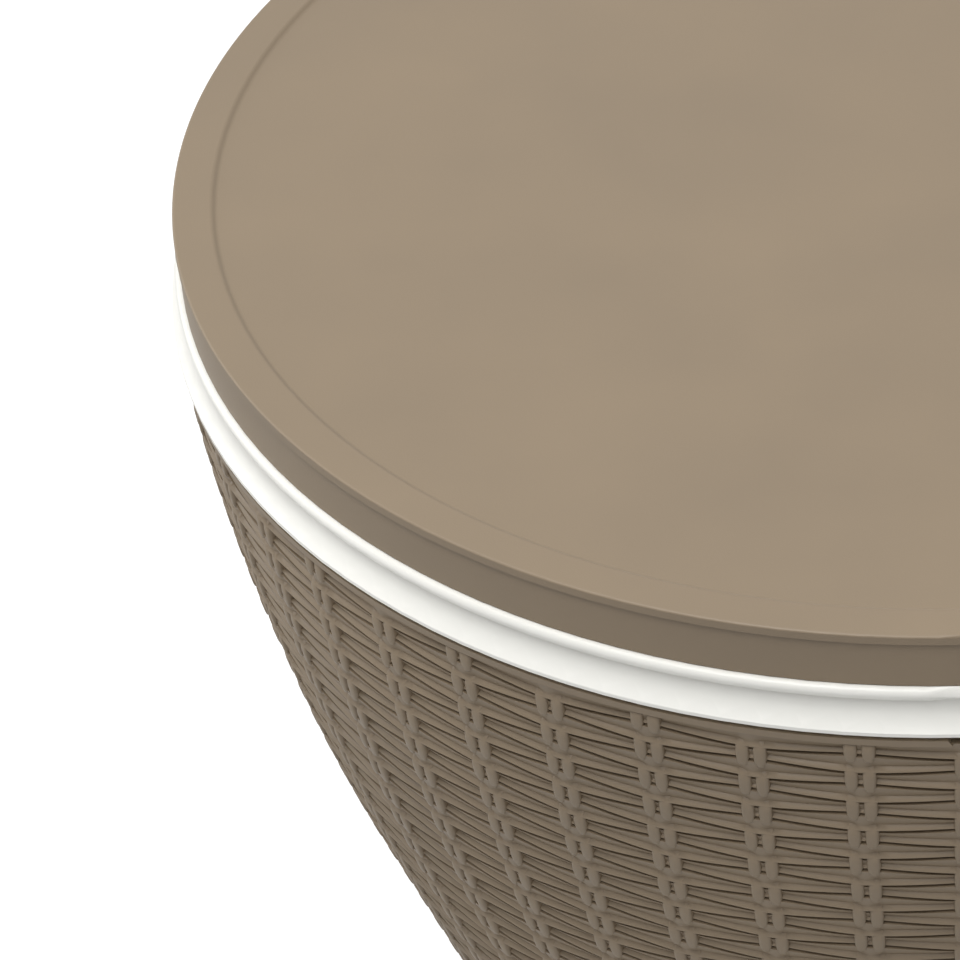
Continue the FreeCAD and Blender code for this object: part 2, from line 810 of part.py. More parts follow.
def base_shell():
    top_z = waist_plate_foot_z
    step_z = waist_band_foot_z - seat_gap
    flange_under_z = top_z - shell_foot_thickness
    border_top_z = base_foot_z + foot_border_height
    body = lathe(
        (waist_flange_bore, top_z),
        (waist_step_radius, top_z),
        (waist_step_radius, step_z),
        (body_radius(step_z, weave_relief), step_z),
        *wall_run(step_z, border_top_z, weave_relief),
        (body_radius(border_top_z), border_top_z),
        *wall_run(border_top_z, base_foot_z, 0),
        (body_radius(base_foot_z, shell_wall), base_foot_z),
        *wall_run(base_foot_z, flange_under_z, shell_wall),
        (waist_flange_bore, flange_under_z),
    )
    boss_top_z = floor_top_z + screw_length
    web_outer = body_radius(base_foot_z, shell_wall / 2)
    boss = rod(floor_boss_radius, floor_top_z, boss_top_z, floor_screw_circle())
    web = block(floor_screw_circle(), web_outer, floor_web_wall, floor_top_z, boss_top_z)
    bosses = [turned(shape, angle) for shape in (boss, web) for angle in around(floor_screw_count)]
    holes = screw_holes(waist_screw_count, waist_screw_circle, flange_under_z, top_z, waist_screw_start)
    holes += screw_holes(floor_screw_count, floor_screw_circle(), floor_z, boss_top_z)
    return cut(fuse(body, bosses + stake_ribs(border_top_z, step_z)), holes)


def floor_screw_circle():
    return body_radius(floor_top_z, shell_wall) - slide_clearance - 2 * floor_boss_radius


def foot_circle():
    return floor_screw_circle() - foot_screw_gap


# Floor plate and feet

def base_floor():
    plate_radius = body_radius(floor_top_z, shell_wall) - slide_clearance
    socket_bore = column_radius + fit_clearance
    socket_radius = socket_bore + foot_socket_wall
    socket_top_z = floor_top_z + foot_socket_height
    body = lathe(
        (0, floor_z),
        (plate_radius, floor_z),
        (plate_radius, floor_top_z),
        (socket_radius, floor_top_z),
        (socket_radius, socket_top_z),
        (socket_bore, socket_top_z),
        (socket_bore, floor_top_z),
        (0, floor_top_z),
    )
    rib_top_z = floor_top_z + floor_rib_height
    rib_outer = floor_screw_circle() - 2 * floor_boss_radius
    rib = block(socket_bore + foot_socket_wall / 2, rib_outer, floor_rib_wall,
                floor_z + floor_thickness / 2, rib_top_z)
    ribs = [turned(rib, angle) for angle in around(floor_rib_count, 180.0 / floor_rib_count)]
    screw_way = across(screw_radius + fit_clearance, column_radius, socket_radius + cut_over,
                       column_screw_z)
    pocket = rod(foot_radius + fit_clearance, floor_z - cut_over, floor_z + foot_recess, foot_circle())
    pin_hole = rod(foot_pin_radius + fit_clearance, floor_z, rib_top_z + cut_over, foot_circle())
    cuts = screw_holes(floor_screw_count, floor_screw_circle(), floor_z, floor_top_z)
    cuts += [turned(screw_way, angle) for angle in around(lug_count, key_angle)]
    for angle in around(foot_count, foot_start):
        cuts += [turned(pocket, angle), turned(pin_hole, angle)]
    return cut(fuse(body, ribs), cuts)


def floor_screws():
    return screws_up(floor_screw_count, floor_screw_circle(), floor_z)


def foot_pad(angle):
    """A rubber foot with a pin that plugs into the floor plate."""
    pad = lathe(
        (0, 0),
        (foot_radius - foot_edge, 0),
        (foot_radius, foot_edge),
        (foot_radius, floor_z + foot_recess),
        (foot_pin_radius, floor_z + foot_recess),
        (foot_pin_radius, floor_top_z),
        (0, floor_top_z),
    )
    pad.translate(spot(foot_circle(), angle, 0))
    return pad


# Drain: its own axis starts on the bowl's outer face and points out and down. Its flange sits on
# the straight of the tub's wall, just above the corner that leads to the tub's floor.

drain_lean = math.radians(cone_slope)
tub_corner_top_z = tub_floor_z + tub_corner_round * (1 - math.sin(drain_lean))
drain_height = (spout_flange_radius + drain_corner_gap) * math.cos(drain_lean)
drain_z = tub_corner_top_z + drain_height - (tub_inset + tub_wall) * math.sin(drain_lean)
drain_place = spot(body_radius(drain_z), drain_angle, drain_z)
drain_axis = spot(math.cos(drain_lean), drain_angle, -math.sin(drain_lean))
tub_seat_step = drain_seat_depth - tub_inset - tub_wall
bowl_seat_step = drain_seat_depth - shell_wall
spout_radius = spout_bore_radius + spout_wall
nut_end_step = drain_pad_proud + drain_nut_height
spout_end_step = nut_end_step + spout_reach


def drain_cylinder(radius, near, far):
    """A cylinder on the drain's axis between two distances from the bowl's outer face."""
    start = drain_place + drain_axis * near
    return Part.makeCylinder(radius, far - near, start, drain_axis)


def drain_bore():
    return drain_cylinder(spout_radius + fit_clearance, tub_seat_step - tub_wall, nut_end_step)


def drain_tube(inner, outer, near, far):
    return drain_cylinder(outer, near, far).cut(drain_cylinder(inner, near, far))


def drain_spout():
    face_step = tub_seat_step - gasket_thickness
    flange = drain_cylinder(spout_flange_radius, face_step - spout_flange, face_step)
    stem = drain_cylinder(spout_radius, face_step - spout_flange, spout_end_step)
    bore = drain_cylinder(spout_bore_radius, face_step - spout_flange - cut_over,
                          spout_end_step + cut_over)
    return fuse(flange, [stem]).cut(bore)


def drain_gasket():
    return drain_tube(spout_radius + fit_clearance, spout_flange_radius,
                      tub_seat_step - gasket_thickness, tub_seat_step)


def drain_spacer():
    inner = spout_radius + fit_clearance
    return drain_tube(inner, inner + spacer_wall, fit_clearance - tub_inset,
                      bowl_seat_step - fit_clearance)


def drain_nut():
    corners = [spot(drain_nut_radius, angle, 0) for angle in around(6)]
    hexagon = Part.Face(Part.makePolygon(corners + corners[:1]))
    nut = hexagon.extrude(up * drain_nut_height)
    nut_place = drain_place + drain_axis * drain_pad_proud
    nut.Placement = FreeCAD.Placement(nut_place, FreeCAD.Rotation(up, drain_axis))
    bore = drain_cylinder(spout_radius + fit_clearance, 0, nut_end_step + cut_over)
    return nut.cut(bore)


def drain_seal():
    return drain_tube(spout_bore_radius + fit_clearance, spout_radius, spout_end_step + seat_gap,
                      spout_end_step + seat_gap + seal_height)


def drain_cap():
    near = nut_end_step + cap_nut_gap
    top_step = spout_end_step + seat_gap + seal_height + fit_clearance
    body = drain_cylinder(cap_radius, near, top_step + cap_wall)
    hollow = drain_cylinder(spout_radius + slide_clearance, near - cut_over, top_step)
    start = drain_place + drain_axis * near
    side = drain_axis.cross(sideways)
    side.normalize()
    ribs = []
    for angle in around(cap_rib_count):
        rib = Part.makeCylinder(cap_rib_radius, top_step + cap_wall - near, start + side * cap_radius,
                                drain_axis)
        rib.rotate(start, drain_axis, angle)
        ribs.append(rib)
    return fuse(body, ribs).cut(hollow)


def make_parts():
    """Every node's name with its solid or group of solids."""
    nodes = {
        "tabletop_panel": tabletop_panel(),
        "tabletop_underside": tabletop_underside(),
        "lid_screws": lid_screws(),
        "post_flange": post_flange(),
        "flange_screws": flange_screws(),
        "lid_post": lid_post(),
        "lock_lugs": lock_lugs(),
        "lug_retainer": lug_retainer(),
        "post_end_cap": post_end_cap(),
        "glide_ring": glide_ring(),
        "glide_clip": glide_clip(),
        "column_tube": column_tube(),
        "column_foot_screws": column_foot_screws(),
        "twist_lock_collar": twist_lock_collar(),
        "collar_screws": collar_screws(),
        "tub": tub(),
        "bowl_shell": bowl_shell(),
        "rim_clips": rim_clips(),
        "waist_ring": waist_ring(),
        "waist_screws": waist_screws(),
        "base_shell": base_shell(),
        "base_floor": base_floor(),
        "floor_screws": floor_screws(),
        "drain_spout": drain_spout(),
        "drain_gasket": drain_gasket(),
        "drain_spacer": drain_spacer(),
        "drain_nut": drain_nut(),
        "drain_seal": drain_seal(),
        "drain_cap": drain_cap(),
    }
    for number, angle in enumerate(around(foot_count, foot_start), start=1):
        nodes["foot_pad_%d" % number] = foot_pad(angle)
    return nodes


def save(nodes):
    os.makedirs("parts", exist_ok=True)
    for name, shape in nodes.items():
        solid = Part.makeCompound(shape) if isinstance(shape, list) else shape
        if not solid.isValid():
            print("not valid:", name)
        print(name, len(solid.Solids), "solids,", round(solid.Volume / 1000, 1), "cm3")
        solid.exportStep("parts/%s.step" % name)


save(make_parts())
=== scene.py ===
"""Looks of a round cooler table with a lid: a moulded weave on bowl and base, plastics and metals
on every piece, and the stage. It is laid out as an add-on and run as a script."""

import json
import math

import bmesh
import bpy
from mathutils import Matrix, Quaternion, Vector


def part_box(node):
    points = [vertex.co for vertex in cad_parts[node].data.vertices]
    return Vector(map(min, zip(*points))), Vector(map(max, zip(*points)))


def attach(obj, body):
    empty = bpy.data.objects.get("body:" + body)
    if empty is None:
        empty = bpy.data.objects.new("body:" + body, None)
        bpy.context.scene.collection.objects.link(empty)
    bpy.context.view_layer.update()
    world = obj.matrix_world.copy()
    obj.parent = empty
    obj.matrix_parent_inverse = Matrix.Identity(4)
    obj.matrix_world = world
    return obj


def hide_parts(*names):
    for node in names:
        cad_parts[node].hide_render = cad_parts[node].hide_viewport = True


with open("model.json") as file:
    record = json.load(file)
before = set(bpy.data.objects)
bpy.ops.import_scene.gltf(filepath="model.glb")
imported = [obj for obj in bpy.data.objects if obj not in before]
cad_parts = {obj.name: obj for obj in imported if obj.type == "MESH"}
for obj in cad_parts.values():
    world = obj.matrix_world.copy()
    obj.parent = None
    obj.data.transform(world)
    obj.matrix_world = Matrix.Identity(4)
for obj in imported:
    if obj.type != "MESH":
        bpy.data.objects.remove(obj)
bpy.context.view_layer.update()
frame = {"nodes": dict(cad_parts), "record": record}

bl_info = {
    "name": "Cooler table looks",
    "version": (1, 0, 0),
    "blender": (4, 5, 0),
    "location": "3D View > Sidebar > Cooler table",
    "description": "Woven walls, finishes and stage for the cooler table",
    "category": "Object",
}

mm = 0.001
body_name = "cooler_body"

# Mesh points closer than this are joined, and edges that bend by more than this stay sharp
same_place = 0.001 * mm
crease_angle = math.radians(60)


# Small tools

def linear(hex_colour):
    """Linear colour with full alpha from an sRGB hex value."""
    values = []
    for start in (0, 2, 4):
        share = int(hex_colour[start:start + 2], 16) / 255
        values.append(share / 12.92 if share <= 0.04045 else ((share + 0.055) / 1.055) ** 2.4)
    return (*values, 1.0)


def add(tree, kind, sockets=(), points=(), **settings):
    """Adds a node to a tree with its settings, and gives its sockets a value or a link.

    Points are the corners of the line in a curve node."""
    node = tree.nodes.new(kind)
    for name, value in settings.items():
        setattr(node, name, value)
    if points:
        line = node.mapping.curves[0].points
        while len(line) < len(points):
            line.new(0.5, 0.5)
        for point, place in zip(line, points):
            point.location = place
            point.handle_type = "VECTOR"
        node.mapping.update()
    for key, value in sockets.items() if isinstance(sockets, dict) else enumerate(sockets):
        if isinstance(value, bpy.types.Node):
            value = next(socket for socket in value.outputs if socket.enabled)
        if isinstance(value, bpy.types.NodeSocket):
            tree.links.new(value, node.inputs[key])
        else:
            node.inputs[key].default_value = value
    return node


def new_tree(name, **inputs):
    """A geometry node tree with named inputs and one geometry output, and its input sockets."""
    tree = bpy.data.node_groups.new(name, "GeometryNodeTree")
    for label, kind in inputs.items():
        tree.interface.new_socket(label.replace("_", " "), in_out="INPUT", socket_type="NodeSocket" + kind)
    tree.interface.new_socket("Geometry", in_out="OUTPUT", socket_type="NodeSocketGeometry")
    return tree, add(tree, "NodeGroupInput").outputs


def finished(piece):
    """Turns an object's modifiers into its plain mesh."""
    graph = bpy.context.evaluated_depsgraph_get()
    mesh = bpy.data.meshes.new_from_object(piece.evaluated_get(graph))
    piece.modifiers.clear()
    old = piece.data
    piece.data = mesh
    bpy.data.meshes.remove(old)
    mesh.name = piece.name
    return piece


def new_object(name, data):
    """An object in the scene that shows the given data."""
    piece = bpy.data.objects.new(name, data)
    bpy.context.scene.collection.objects.link(piece)
    return piece


def grow(name, tree, **values):
    """A plain mesh that a node tree makes from its named values."""
    piece = new_object(name, bpy.data.meshes.new(name))
    modifier = piece.modifiers.new("shape", "NODES")
    modifier.node_group = tree
    for item in tree.interface.items_tree:
        key = item.name.replace(" ", "_")
        if item.in_out == "INPUT" and key in values:
            modifier[item.identifier] = values[key]
    return finished(piece)


def from_bmesh(name, shape):
    """An object made of a worked mesh, with its faces turned outwards."""
    bmesh.ops.recalc_face_normals(shape, faces=shape.faces)
    mesh = bpy.data.meshes.new(name)
    shape.to_mesh(mesh)
    shape.free()
    return new_object(name, mesh)


def merged_copy(node, name):
    """A copy of a CAD node's mesh, with its loose triangles joined."""
    shape = bmesh.new()
    shape.from_mesh(frame["nodes"][node].data)
    bmesh.ops.remove_doubles(shape, verts=shape.verts, dist=same_place)
    mesh = bpy.data.meshes.new(name)
    shape.to_mesh(mesh)
    shape.free()
    return new_object(name, mesh)


def cut_out(piece, cutter):
    """Cuts another closed mesh out of a piece."""
    modifier = piece.modifiers.new("cut", "BOOLEAN")
    modifier.operation = "DIFFERENCE"
    modifier.solver = "MANIFOLD"
    modifier.object = cutter
    return finished(piece)


def settle(piece, slot, *nodes):
    """Lets a piece ride on the cooler's body and hides the CAD nodes that it stands for. The slot is not
    used.
    """
    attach(piece, body_name)
    if nodes:
        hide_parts(*nodes)


# Side view of bowl and base, from the rim down to the foot

rim_step = 0.5 * mm
shell_top = (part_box("tub")[1].x - rim_step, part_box("bowl_shell")[1].z)
band_foot_z, band_top_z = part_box("waist_ring")[0].z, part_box("waist_ring")[1].z
waist_z = (band_foot_z + band_top_z) / 2
foot_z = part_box("base_shell")[0].z
top_slope = math.radians(6.5)
cone_slope = math.radians(20.9)
base_slope = math.radians(20.0)
bulge_radius = 746 * mm
waist_curve = 90 * mm
base_curve = 600 * mm


def bend(start, slope, new_slope, radius):
    """Points about 2 mm apart along an arc of the side view, after its first point.

    A slope is how far the wall leans in on the way down, and a hollow arc has a negative radius."""
    count = math.ceil(abs((new_slope - slope) * radius) / (2 * mm))
    points = []
    for step in range(1, count + 1):
        lean = slope + (new_slope - slope) * step / count
        points.append((start[0] + radius * (math.cos(lean) - math.cos(slope)),
                       start[1] - radius * (math.sin(lean) - math.sin(slope))))
    return points


def side_view():
    """Points of the wall's outer face from the rim to the foot, as (radius, height)."""
    points = [shell_top]
    points += bend(points[-1], top_slope, cone_slope, bulge_radius)
    cone_foot_z = waist_z + waist_curve * math.sin(cone_slope)
    run_in = (points[-1][1] - cone_foot_z) * math.tan(cone_slope)
    points.append((points[-1][0] - run_in, cone_foot_z))
    points += bend(points[-1], cone_slope, -base_slope, -waist_curve)
    foot_slope = math.asin((points[-1][1] - foot_z) / base_curve - math.sin(base_slope))
    points += bend(points[-1], -base_slope, foot_slope, base_curve)
    return points


wall = side_view()


def length_to(z):
    """Distance along the wall from the shell's top down to height z."""
    length = 0.0
    for (r1, z1), (r2, z2) in zip(wall, wall[1:]):
        if z2 <= z:
            return length + math.hypot(r2 - r1, z2 - z1) * (z1 - z) / (z1 - z2)
        length += math.hypot(r2 - r1, z2 - z1)
    return length


def on_wall(length, depth):
    """Point of the side view at a distance down the wall and a depth behind its outer face."""
    for (r1, z1), (r2, z2) in zip(wall, wall[1:]):
        run = math.hypot(r2 - r1, z2 - z1)
        if length <= run or (r2, z2) == wall[-1]:
            across, down = (r2 - r1) / run, (z2 - z1) / run
            return (r1 + across * length + down * depth, z1 + down * length - across * depth)
        length -= run


def side_view_curve():
    """The side view as a curve object that the node trees read."""
    curve = bpy.data.curves.new("side view", "CURVE")
    curve.dimensions = "3D"
    line = curve.splines.new("POLY")
    line.points.add(len(wall) - 1)
    for point, (radius, z) in zip(line.points, wall):
        point.co = (radius, 0, z, 1)
    return new_object("side view", curve)


# Sizes and colours

class WeaveSizes(bpy.types.PropertyGroup):
    """Sizes of the moulded weave"""
    pairs: bpy.props.IntProperty(
        name="Stake pairs", description="Pairs of stakes round the wall", default=48, min=12, max=96)
    steps: bpy.props.IntProperty(
        name="Steps per pair", description="Mesh columns from one pair to the next",
        default=8, min=4, max=16)
    strand_height: bpy.props.FloatProperty(
        name="Strand height", description="From one slit to the next", default=6.46 * mm, unit="LENGTH")
    border: bpy.props.FloatProperty(
        name="Top border", description="Height of the smooth band at the rim",
        default=4.0 * mm, unit="LENGTH")
    lip_gap: bpy.props.FloatProperty(
        name="Lip gap", description="Height of the dark gap under the tub's lip",
        default=1.6 * mm, unit="LENGTH")
    foot_border: bpy.props.FloatProperty(
        name="Foot border", description="Height of the smooth band at the foot",
        default=6.8 * mm, unit="LENGTH")
    slit_depth: bpy.props.FloatProperty(
        name="Slit depth", description="How deep a slit between strands is",
        default=3.2 * mm, unit="LENGTH")
    slit_at_dive: bpy.props.FloatProperty(
        name="Slit at a dive", description="Width of a slit over a strand that dives behind a pair",
        default=1.15 * mm, unit="LENGTH")
    slit_at_crossing: bpy.props.FloatProperty(
        name="Slit at a crossing", description="Width of a slit over a strand that crosses a pair",
        default=0.35 * mm, unit="LENGTH")
    sway: bpy.props.FloatProperty(
        name="Slit sway", description="How far a slit moves up and down at the pairs",
        default=0.65 * mm, unit="LENGTH")
    dive: bpy.props.FloatProperty(
        name="Dive", description="How much deeper a strand runs behind a pair",
        default=0.6 * mm, unit="LENGTH")
    back: bpy.props.FloatProperty(
        name="Skin depth", description="Depth of the weave's skin on the shell",
        default=3.9 * mm, unit="LENGTH")
    stake_width: bpy.props.FloatProperty(
        name="Stake width", description="Width of one stake", default=4.1 * mm, unit="LENGTH")
    stake_gap: bpy.props.FloatProperty(
        name="Stake gap", description="Gap between the two stakes of a pair",
        default=1.2 * mm, unit="LENGTH")
    stake_length: bpy.props.FloatProperty(
        name="Stake length", description="Length of a stake's shown part",
        default=10.8 * mm, unit="LENGTH")


class Finishes(bpy.types.PropertyGroup):
    """Colours of the plastics"""
    taupe: bpy.props.FloatVectorProperty(
        name="Taupe", description="Lid, bowl and base", subtype="COLOR", size=4,
        default=linear("877762"))
    dark_taupe: bpy.props.FloatVectorProperty(
        name="Dark taupe", description="Post, collar and drain fittings", subtype="COLOR", size=4,
        default=linear("6E604F"))
    white: bpy.props.FloatVectorProperty(
        name="White", description="Tub and column", subtype="COLOR", size=4, default=linear("F3F2EC"))
    brown: bpy.props.FloatVectorProperty(
        name="Dark brown", description="Floor plate", subtype="COLOR", size=4,
        default=linear("453E37"))


class StageSizes(bpy.types.PropertyGroup):
    """Camera, light and floor"""
    lens: bpy.props.FloatProperty(
        name="Lens", description="Focal length in millimetres", default=209.02,
        subtype="DISTANCE_CAMERA")
    place: bpy.props.FloatVectorProperty(
        name="Camera", description="Where the camera stands", default=(-0.0461, -1.47968, 1.56446),
        subtype="TRANSLATION")
    heading: bpy.props.FloatProperty(
        name="Heading", description="The camera's turn from straight ahead", default=-0.07229,
        subtype="ANGLE")
    pitch: bpy.props.FloatProperty(
        name="Pitch", description="The camera's tilt from level", default=-0.64601, subtype="ANGLE")
    roll: bpy.props.FloatProperty(
        name="Roll", description="The camera's turn about its own view", default=-0.07316,
        subtype="ANGLE")
    overhead: bpy.props.FloatProperty(
        name="Overhead lamp", description="Power of the wide lamp overhead", default=208.0, unit="POWER")
    front: bpy.props.FloatProperty(
        name="Front lamp", description="Power of the lamp high in front", default=100.0, unit="POWER")
    side: bpy.props.FloatProperty(
        name="Side lamp", description="Power of the low lamp at the left", default=64.0, unit="POWER")
    fill: bpy.props.FloatProperty(
        name="Fill", description="Strength of the even light from all round", default=0.17)
    floor_radius: bpy.props.FloatProperty(
        name="Floor radius", description="Radius of the round floor", default=3.2, unit="LENGTH")
    floor_lift: bpy.props.FloatProperty(
        name="Floor lift", description="Light that the camera sees on top of the floor's own paint",
        default=0.45)


# Materials

taupe_name = "polypropylene, moulded, taupe"

# Most values of a noise texture lie between these two
noise_low, noise_high = 0.3, 0.7


def shader(name):
    """A new material, its tree, its main shader and its place on the piece."""
    material = bpy.data.materials.new(name)
    material.use_nodes = True
    tree = material.node_tree
    tree.nodes.clear()
    main = add(tree, "ShaderNodeBsdfPrincipled")
    add(tree, "ShaderNodeOutputMaterial", {"Surface": main})
    place = add(tree, "ShaderNodeTexCoord").outputs["Object"]
    return material, tree, main, place


def moulded(name, colour, roughness, ior, mottle=0.05, mottle_size=70 * mm, grain=0.6 * mm,
            relief=0.04 * mm, gloss_spread=0.05):
    """Injection-moulded plastic: an even colour with faint clouds where the melt flowed, and the
    fine grain of the mould, drawn coarser than it is so that it still softens the sheen."""
    material, tree, main, place = shader(name)
    main.inputs["IOR"].default_value = ior
    clouds = add(tree, "ShaderNodeTexNoise", {"Vector": place, "Scale": 1 / mottle_size, "Detail": 3.0})
    shade = add(tree, "ShaderNodeMapRange", (clouds, noise_low, noise_high, 1 - mottle, 1 + mottle))
    grey = add(tree, "ShaderNodeCombineColor", (shade, shade, shade))
    tint = add(tree, "ShaderNodeMix", {6: colour, 7: grey, 0: 1.0}, data_type="RGBA",
               blend_type="MULTIPLY")
    tree.links.new(tint.outputs[2], main.inputs["Base Color"])
    fine = add(tree, "ShaderNodeTexNoise", {"Vector": place, "Scale": 1 / grain, "Detail": 1.0})
    bump = add(tree, "ShaderNodeBump", {"Height": fine, "Distance": relief, "Strength": 1.0})
    tree.links.new(bump.outputs[0], main.inputs["Normal"])
    gloss = add(tree, "ShaderNodeMapRange", (
        clouds, noise_low, noise_high, roughness - gloss_spread, roughness + gloss_spread))
    tree.links.new(gloss.outputs[0], main.inputs["Roughness"])
    return material


def metal(name, colour, roughness, streak=0.4 * mm, gloss_spread=0.08):
    """Worked steel: a metal with fine streaks along its length that blur its shine."""
    material, tree, main, place = shader(name)
    main.inputs["Metallic"].default_value = 1.0
    main.inputs["Base Color"].default_value = colour
    stretched = add(tree, "ShaderNodeMapping", {"Vector": place, "Scale": (1.0, 1.0, 0.1)})
    streaks = add(tree, "ShaderNodeTexNoise", {"Vector": stretched, "Scale": 1 / streak, "Detail": 2.0})
    gloss = add(tree, "ShaderNodeMapRange", (
        streaks, noise_low, noise_high, roughness - gloss_spread, roughness + gloss_spread))
    tree.links.new(gloss.outputs[0], main.inputs["Roughness"])
    return material


def taupe_plastic(colours):
    """Polypropylene of lid, bowl and base: matt and even, with a soft broad sheen."""
    return moulded(taupe_name, colours.taupe, roughness=0.5, ior=1.49)


def post_plastic(colours):
    """Glass-filled polypropylene of post, collar and drain: darker, with a slightly tighter sheen."""
    return moulded("glass-filled polypropylene, moulded, dark taupe", colours.dark_taupe,
                   roughness=0.45, ior=1.5)


def white_plastic(colours):
    """High-density polyethylene of tub and column: a clean warm white, smooth and a little waxy."""
    return moulded("high-density polyethylene, moulded, white", colours.white, roughness=0.35, ior=1.54,
                   mottle=0.01, grain=1.2 * mm, relief=0.01 * mm)


def base_plastic(colours):
    """Recycled polypropylene of the floor plate: dark brown, dull and a little uneven."""
    return moulded("recycled polypropylene, moulded, dark brown", colours.brown, roughness=0.6, ior=1.49,
                   mottle=0.1, grain=0.9 * mm)


def nylon():
    """Natural nylon of the parts that slide: off-white and milky, with small clouds."""
    return moulded("nylon, moulded, natural", linear("DCD8CC"), roughness=0.4, ior=1.53, mottle=0.03,
                   mottle_size=12 * mm)


def rubber():
    """Black rubber of feet and seals: dull, with a coarse skin that scatters all light."""
    return moulded("EPDM rubber, moulded, black", linear("2B2A29"), roughness=0.75, ior=1.52, mottle=0.12,
                   mottle_size=8 * mm, relief=0.06 * mm)


def zinc_steel():
    """Turned screws with a coat of zinc: bright, cool grey and half shiny."""
    return metal("steel, turned and zinc plated", linear("C9CBCE"), roughness=0.35)


def spring_steel():
    """Blued spring strip: dark and bluish, with a soft shine."""
    return metal("spring steel, blued", linear("5F646D"), roughness=0.4)


# The weave

# One strand's section from its upper slit down to the next slit, at points evenly counted: share of
# the slit's depth, share of the strand's height, share of the slit's width that is added, and
# whether the point goes deeper where the strand dives
section_rows = 7


def section_curve(*levels):
    """Curve points that give each point of the section its own value."""
    return [(count / section_rows, level) for count, level in enumerate(levels)]


section_level = section_curve(1, 0.95, 0.17, 0.56, 0.58, 0.16, 0.13, 1)
section_run = section_curve(0, 0.08, 0.02, 0.66, 0.73, 0.84, 0.91, 1)
section_slit = section_curve(0, 1, 1, 0.35, 0, 0, 0, 0)
section_dive = section_curve(0, 0, 1, 1, 1, 1, 1, 0)

# Share of the way from one pair to the next on which a strand stays level, before it moves over
# to the other side, and what is left of the slits' depth between the two stakes of a pair
level_share = 0.144
middle_depth_share = 0.45

# Rows of mesh up the back of a skin: the base is more bent, so it has more
bowl_back_rows = 14
base_back_rows = 40

# How far ends run on under what hides them: strands at the rim and at the foot, stakes under a
# smooth border and stakes under the band at the waist
rim_tuck = 0.8 * mm
foot_tuck = 0.6 * mm
stake_tuck = 0.5 * mm
band_tuck = 1.0 * mm

# How far into a crossing strand a stake's tip reaches, as a share of the strand's height, the
# shortest stake that is shown, and how far a stake's sides go down past the slits' floor
tip_share = 0.38
shortest_stake = 2 * mm
stake_root = 0.3 * mm

# Cutters for the shells: how far they stand out past the face, the play they leave behind the
# slits, the depth of the gap under the lip and the round place kept free for the drain
cutter_free = 1 * mm
slit_play = 0.2 * mm
lip_gap_depth = 2.5 * mm
drain_hole_radius = 23 * mm


